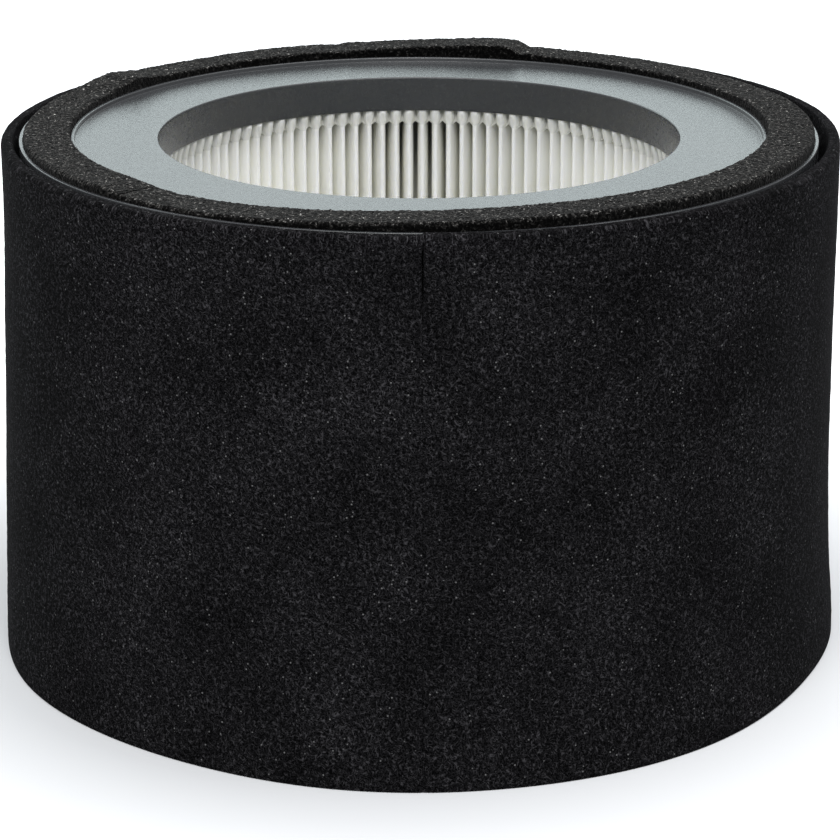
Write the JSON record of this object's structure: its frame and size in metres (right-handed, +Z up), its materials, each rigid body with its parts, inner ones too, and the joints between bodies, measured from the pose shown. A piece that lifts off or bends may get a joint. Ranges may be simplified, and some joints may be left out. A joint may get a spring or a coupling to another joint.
{
  "type": "air purifier filter",
  "caption": "Round pleated air filter cartridge with open moulded end caps, a foam seal laid in the upper cap, and a black felt wrap whose ends meet in a seam at the front.",
  "frame": {"origin": "middle of the underside, on the surface that the filter stands on", "axes": "+Z up along the filter's axis, towards the foam seal; -Y towards the seam of the felt"},
  "size_m": [0.2706, 0.2706, 0.1667],
  "materials": {
    "cap_plastic": "smooth satin moulding",
    "potting": "poured, white, slightly waxy",
    "filter_paper": "soft white fibre paper",
    "seal_foam": "cut open-cell foam",
    "black_felt": "needle felt with loose fibres",
    "hook_tape": "hooked"
  },
  "bodies": {
    "root": {"top_end_cap": "cap_plastic", "bottom_end_cap": "cap_plastic", "top_potting": "potting", "bottom_potting": "potting", "pleat_pack": "filter_paper", "foam_strip_right": "seal_foam", "foam_strip_left": "seal_foam", "foam_strip_front": "seal_foam", "felt_wrap": "black_felt", "seam_tape": "hook_tape"}
  },
  "joints": []
}
